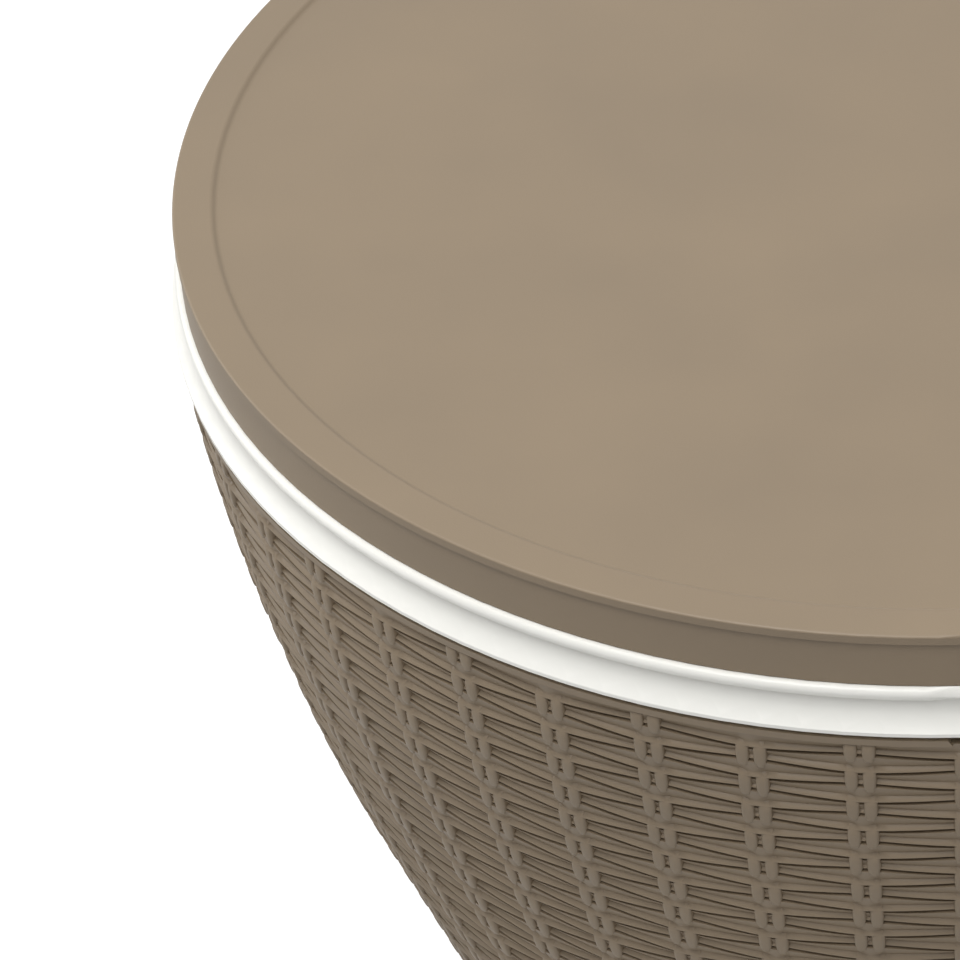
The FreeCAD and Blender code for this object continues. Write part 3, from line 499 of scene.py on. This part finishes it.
def weave_tree():
    """A closed skin round the wall: the rows of a grid follow each strand's section down the side
    view, and its columns go round, where every strand sways, crosses a pair and dives behind the
    next one."""
    tree, given = new_tree("woven wall", Side_view="Object", Pairs="Int", Steps="Int", Strands="Int",
                           Back_rows="Int", Start="Float", Strand_height="Float",
                           Slit_depth="Float", Slit_at_dive="Float", Slit_at_crossing="Float",
                           Sway="Float", Dive="Float", Back="Float", Material="Material")
    columns = add(tree, "ShaderNodeMath", (given["Pairs"], given["Steps"]), operation="MULTIPLY")
    front_rows = add(tree, "ShaderNodeMath", (given["Strands"], section_rows), operation="MULTIPLY")
    rows = add(tree, "ShaderNodeMath", (front_rows, given["Back rows"]), operation="ADD")
    grid = add(tree, "GeometryNodeMeshGrid", (
        columns, rows,
        add(tree, "ShaderNodeMath", (columns, 1.0), operation="ADD"),
        add(tree, "ShaderNodeMath", (rows, 1.0), operation="ADD")))
    place = add(tree, "ShaderNodeSeparateXYZ", (add(tree, "GeometryNodeInputPosition"),)).outputs
    column = add(tree, "ShaderNodeMath", (columns, 0.5, place["X"]), operation="MULTIPLY_ADD")
    row_place = add(tree, "ShaderNodeMath", (rows, 0.5, place["Y"]), operation="MULTIPLY_ADD")
    whole_row = add(tree, "ShaderNodeMath", (row_place,), operation="ROUND")
    row = add(tree, "ShaderNodeMath", (whole_row, rows), operation="FLOORED_MODULO")

    # Which strand a row belongs to, and where the row is on the strand's section
    row_middle = add(tree, "ShaderNodeMath", (row, 0.5), operation="ADD")
    strand_place = add(tree, "ShaderNodeMath", (row_middle, section_rows), operation="DIVIDE")
    strand = add(tree, "ShaderNodeMath", (strand_place,), operation="FLOOR")
    in_section = add(tree, "ShaderNodeMath", (strand, -section_rows, row), operation="MULTIPLY_ADD")
    spot = add(tree, "ShaderNodeMath", (in_section, section_rows), operation="DIVIDE")
    level = add(tree, "ShaderNodeFloatCurve", {"Value": spot}, points=section_level)
    run = add(tree, "ShaderNodeFloatCurve", {"Value": spot}, points=section_run)
    slit_part = add(tree, "ShaderNodeFloatCurve", {"Value": spot}, points=section_slit)
    dive_part = add(tree, "ShaderNodeFloatCurve", {"Value": spot}, points=section_dive)

    # From 1 where the strand crosses a pair to -1 where it dives behind one
    pair_place = add(tree, "ShaderNodeMath", (column, given["Steps"]), operation="DIVIDE")
    to_next = add(tree, "ShaderNodeMath", (pair_place, 1.0), operation="PINGPONG")
    even = add(tree, "ShaderNodeMapRange", (to_next, level_share, 1 - level_share, 1.0, -1.0))
    odd = add(tree, "ShaderNodeMath", (strand, 2.0), operation="FLOORED_MODULO")
    sign = add(tree, "ShaderNodeMath", (odd, -2.0, 1.0), operation="MULTIPLY_ADD")
    over = add(tree, "ShaderNodeMath", (sign, even), operation="MULTIPLY")
    up = add(tree, "ShaderNodeMath", (over, 0.5, 0.5), operation="MULTIPLY_ADD")
    slit = add(tree, "ShaderNodeMix", {0: up, 2: given["Slit at dive"], 3: given["Slit at crossing"]})

    # Distance down the wall
    added = add(tree, "ShaderNodeMath", (slit_part, slit), operation="MULTIPLY")
    in_strand = add(tree, "ShaderNodeMath", (run, given["Strand height"], added), operation="MULTIPLY_ADD")
    share = add(tree, "ShaderNodeMath", (in_strand, given["Strand height"]), operation="DIVIDE")
    lean = add(tree, "ShaderNodeMath", (share, 2.0, -1.0), operation="MULTIPLY_ADD")
    swing = add(tree, "ShaderNodeMath", (over, given["Sway"]), operation="MULTIPLY")
    swayed = add(tree, "ShaderNodeMath", (swing, lean, in_strand), operation="MULTIPLY_ADD")
    strand_start = add(tree, "ShaderNodeMath", (strand, given["Strand height"], given["Start"]),
                       operation="MULTIPLY_ADD")
    front_length = add(tree, "ShaderNodeMath", (strand_start, swayed), operation="ADD")

    # Depth behind the wall's face: slits are shallower in the column at a pair's middle, and all
    # other columns are less than 0.45 of the way from halfway to the next pair
    behind_pair = add(tree, "ShaderNodeMath", (1.0, up), operation="SUBTRACT")
    down = add(tree, "ShaderNodeMath", (behind_pair, given["Dive"]), operation="MULTIPLY")
    dived = add(tree, "ShaderNodeMath", (down, dive_part), operation="MULTIPLY")
    off_middle = add(tree, "ShaderNodeMath", (to_next, 0.5, 0.45), operation="COMPARE")
    depth_share = add(tree, "ShaderNodeMath", (off_middle, 1 - middle_depth_share, middle_depth_share),
                      operation="MULTIPLY_ADD")
    deepest = add(tree, "ShaderNodeMath", (depth_share, given["Slit depth"]), operation="MULTIPLY")
    front_depth = add(tree, "ShaderNodeMath", (level, deepest, dived), operation="MULTIPLY_ADD")

    # The back of the skin runs up again behind the strands
    end = add(tree, "ShaderNodeMath", (given["Strands"], given["Strand height"], given["Start"]),
              operation="MULTIPLY_ADD")
    back_length = add(tree, "ShaderNodeMapRange", (
        row,
        add(tree, "ShaderNodeMath", (front_rows, 1.0), operation="ADD"),
        add(tree, "ShaderNodeMath", (rows, 1.0), operation="SUBTRACT"),
        end, given["Start"]))
    front_end = add(tree, "ShaderNodeMath", (front_rows, 0.5), operation="ADD")
    behind = add(tree, "FunctionNodeCompare", (row, front_end), operation="GREATER_THAN")
    length = add(tree, "GeometryNodeSwitch", (behind, front_length, back_length), input_type="FLOAT")
    depth = add(tree, "GeometryNodeSwitch", (behind, front_depth, given["Back"]), input_type="FLOAT")

    shape = add(tree, "GeometryNodeSetPosition", {
        "Geometry": grid.outputs["Mesh"],
        "Position": placed_on_wall(tree, given["Side view"], length, depth,
                                   add(tree, "ShaderNodeMath", (column, columns), operation="DIVIDE"))[0]})
    joined = add(tree, "GeometryNodeMergeByDistance", {"Geometry": shape, "Distance": same_place})
    outward = add(tree, "GeometryNodeFlipFaces", (joined,))
    ending(tree, outward, given["Material"])
    return tree


def placed_on_wall(tree, side_view_object, length, depth, turn):
    """Place, outward and upward direction at a length down the wall, a depth behind its face and
    a share of a full turn from the front."""
    line = add(tree, "GeometryNodeObjectInfo", (side_view_object,)).outputs["Geometry"]
    sample = add(tree, "GeometryNodeSampleCurve", {"Curves": line, "Length": length}, mode="LENGTH").outputs
    heading = add(tree, "ShaderNodeSeparateXYZ", (sample["Tangent"],)).outputs
    flat_out = add(tree, "ShaderNodeCombineXYZ", (
        add(tree, "ShaderNodeMath", (heading["Z"], -1.0), operation="MULTIPLY"), 0.0, heading["X"]))
    inset = add(tree, "ShaderNodeVectorMath", {0: flat_out, "Scale": depth}, operation="SCALE")
    flat_place = add(tree, "ShaderNodeVectorMath", (sample["Position"], inset), operation="SUBTRACT")
    flat_up = add(tree, "ShaderNodeVectorMath", {0: sample["Tangent"], "Scale": -1.0}, operation="SCALE")
    angle = add(tree, "ShaderNodeMath", (turn, math.tau, -math.pi / 2), operation="MULTIPLY_ADD")
    return [add(tree, "ShaderNodeVectorRotate", {"Vector": flat, "Angle": angle}, rotation_type="Z_AXIS")
            for flat in (flat_place, flat_out, flat_up)]


def ending(tree, shape, material):
    """Ends a tree: real geometry, smooth shading but for sharp edges, and the material."""
    real = add(tree, "GeometryNodeRealizeInstances", (shape,))
    smooth = add(tree, "GeometryNodeSetShadeSmooth", {"Geometry": real})
    edge_angle = add(tree, "GeometryNodeInputMeshEdgeAngle")
    bent = add(tree, "FunctionNodeCompare", (edge_angle, crease_angle), operation="GREATER_THAN")
    creased = add(tree, "GeometryNodeSetShadeSmooth",
                  {"Geometry": smooth, "Selection": bent, "Shade Smooth": False}, domain="EDGE")
    painted = add(tree, "GeometryNodeSetMaterial", {"Geometry": creased, "Material": material})
    add(tree, "NodeGroupOutput", (painted,))


def stake_bar(width, length, slit_depth):
    """One stake's shown part: a closed rounded bar that narrows and dives at its lower tip."""
    # Along the bar from its top: share of its length, share of its width, depth of its crown in mm
    rows = ((0.0, 0.96, 2.1), (0.115, 1.0, 0.45), (0.4, 1.0, 0.0), (0.62, 1.0, 0.0), (0.82, 0.88, 0.0),
            (0.94, 0.6, 0.15), (1.0, 0.24, 0.7))
    # Across the bar: share of its half width, depth below the crown in mm
    section = ((-1.0, 1.2), (-0.88, 0.3), (-0.5, 0.05), (0.0, 0.0), (0.5, 0.05), (0.88, 0.3), (1.0, 1.2))
    shape = bmesh.new()
    rings = []
    for along, narrow, crown in rows:
        y = (0.5 - along) * length
        half = narrow * width / 2
        ring = [shape.verts.new((across * half, y, -(crown + drop) * mm)) for across, drop in section]
        ring += [shape.verts.new((side * half, y, -slit_depth - stake_root)) for side in (1, -1)]
        rings.append(ring)
    for upper, lower in zip(rings, rings[1:]):
        for i, vertex in enumerate(upper):
            shape.faces.new((upper[i - 1], vertex, lower[i], lower[i - 1]))
    shape.faces.new(rings[0])
    shape.faces.new(rings[-1])
    return from_bmesh("stake bar", shape)


def stake_tree():
    """Bars along the pairs of stakes: each one starts below a strand that crosses the pair and
    dives under the next one that does."""
    tree, given = new_tree("stakes", Side_view="Object", Bar="Object", Pairs="Int", First_row="Int",
                           Rows="Int", Start="Float", Strand_height="Float", Tip_share="Float",
                           Bar_length="Float", Spread="Float", High="Float", Low="Float",
                           Material="Material")
    per_row = add(tree, "ShaderNodeMath", (given["Pairs"], 2.0), operation="MULTIPLY")
    count = add(tree, "ShaderNodeMath", (per_row, given["Rows"]), operation="MULTIPLY")
    index = add(tree, "GeometryNodeInputIndex")
    side = add(tree, "ShaderNodeMath", (index, 2.0), operation="MODULO")
    half_index = add(tree, "ShaderNodeMath", (index, 2.0), operation="DIVIDE")
    number = add(tree, "ShaderNodeMath", (half_index,), operation="FLOOR")
    pair = add(tree, "ShaderNodeMath", (number, given["Pairs"]), operation="MODULO")
    row_share = add(tree, "ShaderNodeMath", (number, given["Pairs"]), operation="DIVIDE")
    row_here = add(tree, "ShaderNodeMath", (row_share,), operation="FLOOR")
    row = add(tree, "ShaderNodeMath", (row_here, given["First row"]), operation="ADD")

    # The strand that the bar's tip dives under is odd at odd pairs and even at even ones
    odd = add(tree, "ShaderNodeMath", (pair, 2.0), operation="FLOORED_MODULO")
    next_even = add(tree, "ShaderNodeMath", (row, 2.0, 2.0), operation="MULTIPLY_ADD")
    strand = add(tree, "ShaderNodeMath", (next_even, odd), operation="SUBTRACT")
    tip_strand = add(tree, "ShaderNodeMath", (strand, given["Tip share"]), operation="ADD")
    free_tip = add(tree, "ShaderNodeMath", (tip_strand, given["Strand height"], given["Start"]),
                   operation="MULTIPLY_ADD")
    free_top = add(tree, "ShaderNodeMath", (free_tip, given["Bar length"]), operation="SUBTRACT")
    top = add(tree, "ShaderNodeMath", (free_top, given["High"]), operation="MAXIMUM")
    tip = add(tree, "ShaderNodeMath", (free_tip, given["Low"]), operation="MINIMUM")
    length = add(tree, "ShaderNodeMath", (tip, top), operation="SUBTRACT")
    both = add(tree, "ShaderNodeMath", (tip, top), operation="ADD")
    middle = add(tree, "ShaderNodeMath", (both, 0.5), operation="MULTIPLY")

    # The two stakes of a pair keep their distance while the wall's radius changes
    line = add(tree, "GeometryNodeObjectInfo", (given["Side view"],)).outputs["Geometry"]
    here = add(tree, "GeometryNodeSampleCurve", {"Curves": line, "Length": middle}, mode="LENGTH")
    radius = add(tree, "ShaderNodeSeparateXYZ", (here.outputs["Position"],)).outputs["X"]
    round_length = add(tree, "ShaderNodeMath", (radius, math.tau), operation="MULTIPLY")
    spread_turn = add(tree, "ShaderNodeMath", (given["Spread"], round_length), operation="DIVIDE")
    off_middle = add(tree, "ShaderNodeMath", (side, 0.5), operation="SUBTRACT")
    pair_turn = add(tree, "ShaderNodeMath", (pair, given["Pairs"]), operation="DIVIDE")
    turn = add(tree, "ShaderNodeMath", (off_middle, spread_turn, pair_turn), operation="MULTIPLY_ADD")
    place, outward, upward = placed_on_wall(tree, given["Side view"], middle, 0.0, turn)
    points = add(tree, "GeometryNodePoints", {"Count": count, "Position": place})
    long_enough = add(tree, "FunctionNodeCompare", (length, shortest_stake), operation="GREATER_THAN")
    bars = add(tree, "GeometryNodeInstanceOnPoints", {
        "Points": points,
        "Selection": long_enough,
        "Instance": add(tree, "GeometryNodeObjectInfo", (given["Bar"],)).outputs["Geometry"],
        "Rotation": add(tree, "FunctionNodeAxesToRotation", (outward, upward), primary_axis="Z",
                        secondary_axis="Y"),
        "Scale": add(tree, "ShaderNodeCombineXYZ", (
            1.0, add(tree, "ShaderNodeMath", (length, given["Bar length"]), operation="DIVIDE"), 1.0))})
    ending(tree, bars, given["Material"])
    return tree


def skin_cutter(start, end, depth):
    """A closed ring that takes the outer skin off a shell between two lengths down the wall."""
    longest_step = 4 * mm
    steps = math.ceil((end - start) / longest_step)
    lengths = [start + (end - start) * step / steps for step in range(steps + 1)]
    outline = [on_wall(length, -cutter_free) for length in lengths]
    outline += [on_wall(length, depth) for length in reversed(lengths)]
    columns = 192
    shape = bmesh.new()
    rings = []
    for column in range(columns):
        angle = math.tau * column / columns
        rings.append([shape.verts.new((radius * math.cos(angle), radius * math.sin(angle), z))
                      for radius, z in outline])
    for column, ring in enumerate(rings):
        before = rings[column - 1]
        for i in range(len(ring)):
            shape.faces.new((before[i - 1], before[i], ring[i], ring[i - 1]))
    return from_bmesh("skin cutter", shape)


def drain_plug():
    """A closed cylinder round the drain's axis, through the bowl's wall."""
    low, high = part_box("drain_spacer")
    middle = (low + high) / 2
    axis = Vector((0, math.cos(cone_slope), -math.sin(cone_slope)))
    shape = bmesh.new()
    place = Matrix.Translation(middle) @ axis.to_track_quat("Z", "Y").to_matrix().to_4x4()
    bmesh.ops.create_cone(shape, cap_ends=True, segments=96, radius1=drain_hole_radius,
                          radius2=drain_hole_radius, depth=60 * mm, matrix=place)
    return from_bmesh("drain plug", shape)


def weave(name, sizes, line, start, strands, back_rows):
    """A woven skin of a number of strands, from a length down the wall on."""
    return grow(name, weave_tree(), Side_view=line, Pairs=sizes.pairs, Steps=sizes.steps,
                Strands=strands, Back_rows=back_rows, Start=start, Strand_height=sizes.strand_height,
                Slit_depth=sizes.slit_depth, Slit_at_dive=sizes.slit_at_dive,
                Slit_at_crossing=sizes.slit_at_crossing, Sway=sizes.sway, Dive=sizes.dive,
                Back=sizes.back, Material=bpy.data.materials[taupe_name])


def stakes(name, sizes, line, bar, start, high, low, first_row, rows):
    """Rows of stakes for a skin that starts at a length, kept between a high and a low length."""
    return grow(name, stake_tree(), Side_view=line, Bar=bar, Pairs=sizes.pairs, First_row=first_row,
                Rows=rows, Start=start, Strand_height=sizes.strand_height, Tip_share=tip_share,
                Bar_length=sizes.stake_length, Spread=sizes.stake_width + sizes.stake_gap,
                High=high, Low=low, Material=bpy.data.materials[taupe_name])


def thinned_shell(node, name, start, end, sizes):
    """A copy of a CAD shell without its outer skin, which the weave fills."""
    piece = merged_copy(node, name)
    cutter = skin_cutter(start, end, sizes.slit_depth + slit_play)
    helpers = [cutter]
    if node == "bowl_shell":
        plug = drain_plug()
        lip_gap = skin_cutter(-cutter_free, sizes.lip_gap, lip_gap_depth)
        helpers += [plug, lip_gap]
        cut_out(cutter, plug)
        cut_out(piece, lip_gap)
    cut_out(piece, cutter)
    for helper in helpers:
        bpy.data.objects.remove(helper)
    piece.data.materials.clear()
    piece.data.materials.append(bpy.data.materials[taupe_name])
    return piece


# Steps

class COOLER_OT_finishes(bpy.types.Operator):
    """Makes the materials and gives each CAD node its own"""
    bl_idname = "cooler.finishes"
    bl_label = "Finishes"

    def execute(self, context):
        colours = context.scene.cooler_finishes
        by_slot = {
            "taupe_plastic": taupe_plastic(colours), "post_plastic": post_plastic(colours),
            "white_plastic": white_plastic(colours), "base_plastic": base_plastic(colours),
            "nylon": nylon(), "rubber": rubber(), "steel": zinc_steel(), "spring_steel": spring_steel()}
        for part in frame["record"]["subparts"]:
            mesh = frame["nodes"][part["node"]].data
            mesh.materials.clear()
            mesh.materials.append(by_slot[part["material_slot"]])
        return {"FINISHED"}


class COOLER_OT_bowl(bpy.types.Operator):
    """Builds the bowl: its shell, the woven skin and the stakes"""
    bl_idname = "cooler.bowl"
    bl_label = "Bowl"

    def execute(self, context):
        sizes = context.scene.cooler_weave
        line = side_view_curve()
        start = sizes.border - rim_tuck
        end = length_to(band_top_z)
        strands = math.ceil((end - start) / sizes.strand_height)
        bar = stake_bar(sizes.stake_width, sizes.stake_length, sizes.slit_depth)
        plug = drain_plug()
        shell = thinned_shell("bowl_shell", "bowl_shell_body", sizes.border, end, sizes)
        settle(shell, "taupe_plastic", "bowl_shell")

        # An even number of strands in the upper skin lets the lower one carry on its pattern
        upper = strands // 4 * 2
        low_start = start + upper * sizes.strand_height
        top_skin = weave("bowl_weave_upper", sizes, line, start, upper, bowl_back_rows)
        low_skin = weave("bowl_weave_lower", sizes, line, low_start, strands - upper, bowl_back_rows)
        cut_out(low_skin, plug)
        settle(top_skin, "taupe_plastic")
        settle(low_skin, "taupe_plastic")

        high, low = sizes.border - stake_tuck, end + band_tuck
        rows = strands // 2 + 1
        half = rows // 2
        top_stakes = stakes("bowl_stakes_upper", sizes, line, bar, start, high, low, 0, half)
        low_stakes = stakes("bowl_stakes_lower", sizes, line, bar, start, high, low, half, rows - half)
        cut_out(low_stakes, plug)
        settle(top_stakes, "taupe_plastic")
        settle(low_stakes, "taupe_plastic")
        for helper in (line, bar, plug):
            bpy.data.objects.remove(helper)
        return {"FINISHED"}


class COOLER_OT_base(bpy.types.Operator):
    """Builds the base: its shell, the woven skin and the stakes"""
    bl_idname = "cooler.base"
    bl_label = "Base"

    def execute(self, context):
        sizes = context.scene.cooler_weave
        line = side_view_curve()
        high = length_to(band_foot_z)
        low = length_to(foot_z) - sizes.foot_border
        strands = round((low - high) / sizes.strand_height)
        start = low + foot_tuck - strands * sizes.strand_height
        bar = stake_bar(sizes.stake_width, sizes.stake_length, sizes.slit_depth)
        shell = thinned_shell("base_shell", "base_shell_body", high, low, sizes)
        settle(shell, "taupe_plastic", "base_shell")
        skin = weave("base_weave", sizes, line, start, strands, base_back_rows)
        settle(skin, "taupe_plastic")
        piece = stakes("base_stakes", sizes, line, bar, start, high - band_tuck, low + stake_tuck, 0,
                       strands // 2 + 1)
        settle(piece, "taupe_plastic")
        for helper in (line, bar):
            bpy.data.objects.remove(helper)
        return {"FINISHED"}


class COOLER_OT_stage(bpy.types.Operator):
    """Sets up the floor, the lamps, the background and the camera"""
    bl_idname = "cooler.stage"
    bl_label = "Stage"

    def execute(self, context):
        sizes = context.scene.cooler_stage
        context.scene.view_settings.view_transform = "Standard"
        self.floor(sizes)
        self.lamp("overhead lamp", sizes.overhead, heading=-60, height=82, distance=5.6, size=5.0)
        self.lamp("front lamp", sizes.front, heading=-20, height=60, distance=5.0, size=3.0)
        self.lamp("side lamp", sizes.side, heading=-115, height=20, distance=4.5, size=3.0)
        self.background(context.scene, sizes)
        self.camera(context.scene, sizes)
        return {"FINISHED"}

    def floor(self, sizes):
        """A round floor that looks nearly white to the camera and still takes soft shadows."""
        shape = bmesh.new()
        bmesh.ops.create_circle(shape, cap_ends=True, segments=128, radius=sizes.floor_radius)
        floor = from_bmesh("floor", shape)
        material = bpy.data.materials.new("floor, painted white")
        material.use_nodes = True
        tree = material.node_tree
        tree.nodes.clear()
        paint = add(tree, "ShaderNodeBsdfDiffuse", {"Color": linear("DADADA")})
        lift = add(tree, "ShaderNodeEmission", {"Color": (1, 1, 1, 1), "Strength": sizes.floor_lift})
        shown = add(tree, "ShaderNodeAddShader", (paint, lift))
        ray = add(tree, "ShaderNodeLightPath").outputs["Is Camera Ray"]
        surface = add(tree, "ShaderNodeMixShader", (ray, paint, shown))
        add(tree, "ShaderNodeOutputMaterial", {"Surface": surface})
        floor.data.materials.append(material)

    def lamp(self, name, power, heading, height, distance, size):
        """A soft round lamp aimed at the table, at degrees round from the front and up from level."""
        light = bpy.data.lights.new(name, "AREA")
        light.shape = "DISK"
        light.size = size
        light.energy = power
        lamp = new_object(name, light)
        turn, tilt = math.radians(heading), math.radians(height)
        away = Vector((math.sin(turn) * math.cos(tilt), -math.cos(turn) * math.cos(tilt), math.sin(tilt)))
        aim = Vector((0, 0, 0.4))
        lamp.location = aim + away * distance
        lamp.rotation_euler = away.to_track_quat("Z", "Y").to_euler()

    def background(self, scene, sizes):
        """Plain white where it is seen or mirrored, and a faint even light on everything else."""
        world = bpy.data.worlds.new("white studio")
        scene.world = world
        world.use_nodes = True
        tree = world.node_tree
        tree.nodes.clear()
        rays = add(tree, "ShaderNodeLightPath").outputs
        seen = add(tree, "ShaderNodeMath", (rays["Is Camera Ray"], rays["Is Glossy Ray"]),
                   operation="MAXIMUM")
        white = add(tree, "ShaderNodeMath", (seen, rays["Is Transmission Ray"]), operation="MAXIMUM")
        fill = add(tree, "ShaderNodeBackground", {"Color": (1, 1, 1, 1), "Strength": sizes.fill})
        plain = add(tree, "ShaderNodeBackground", {"Color": (1, 1, 1, 1), "Strength": 1.0})
        surface = add(tree, "ShaderNodeMixShader", (white, fill, plain))
        add(tree, "ShaderNodeOutputWorld", {"Surface": surface})

    def camera(self, scene, sizes):
        """The scene's camera, which looks at the front left of lid and bowl from above."""
        view = bpy.data.cameras.new("camera")
        view.lens = sizes.lens
        view.sensor_width = 36.0
        view.clip_end = 50.0
        camera = new_object("camera", view)
        ahead = Vector((math.sin(sizes.heading) * math.cos(sizes.pitch),
                        math.cos(sizes.heading) * math.cos(sizes.pitch), math.sin(sizes.pitch)))
        turn = ahead.to_track_quat("-Z", "Y") @ Quaternion((0, 0, 1), sizes.roll)
        camera.location = sizes.place
        camera.rotation_euler = turn.to_euler()
        scene.camera = camera


class COOLER_PT_panel(bpy.types.Panel):
    """Lists the steps and the sizes they use"""
    bl_label = "Cooler table"
    bl_idname = "COOLER_PT_panel"
    bl_space_type = "VIEW_3D"
    bl_region_type = "UI"
    bl_category = "Cooler table"

    def draw(self, context):
        for group_name, group in groups.items():
            box = self.layout.box()
            for name in group.__annotations__:
                box.prop(getattr(context.scene, group_name), name)
        for step in steps:
            self.layout.operator(step.bl_idname)


# Registration

groups = {"cooler_weave": WeaveSizes, "cooler_finishes": Finishes, "cooler_stage": StageSizes}
steps = (COOLER_OT_finishes, COOLER_OT_bowl, COOLER_OT_base, COOLER_OT_stage)


def register():
    for group in groups.values():
        bpy.utils.register_class(group)
    for name, group in groups.items():
        setattr(bpy.types.Scene, name, bpy.props.PointerProperty(type=group))
    for item in steps + (COOLER_PT_panel,):
        bpy.utils.register_class(item)


def unregister():
    for item in reversed(steps + (COOLER_PT_panel,)):
        bpy.utils.unregister_class(item)
    for name, group in groups.items():
        delattr(bpy.types.Scene, name)
        bpy.utils.unregister_class(group)


def main():
    register()
    bpy.ops.cooler.finishes()
    bpy.ops.cooler.bowl()
    bpy.ops.cooler.base()
    bpy.ops.cooler.stage()
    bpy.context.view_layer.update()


if __name__ == "__main__":
    main()
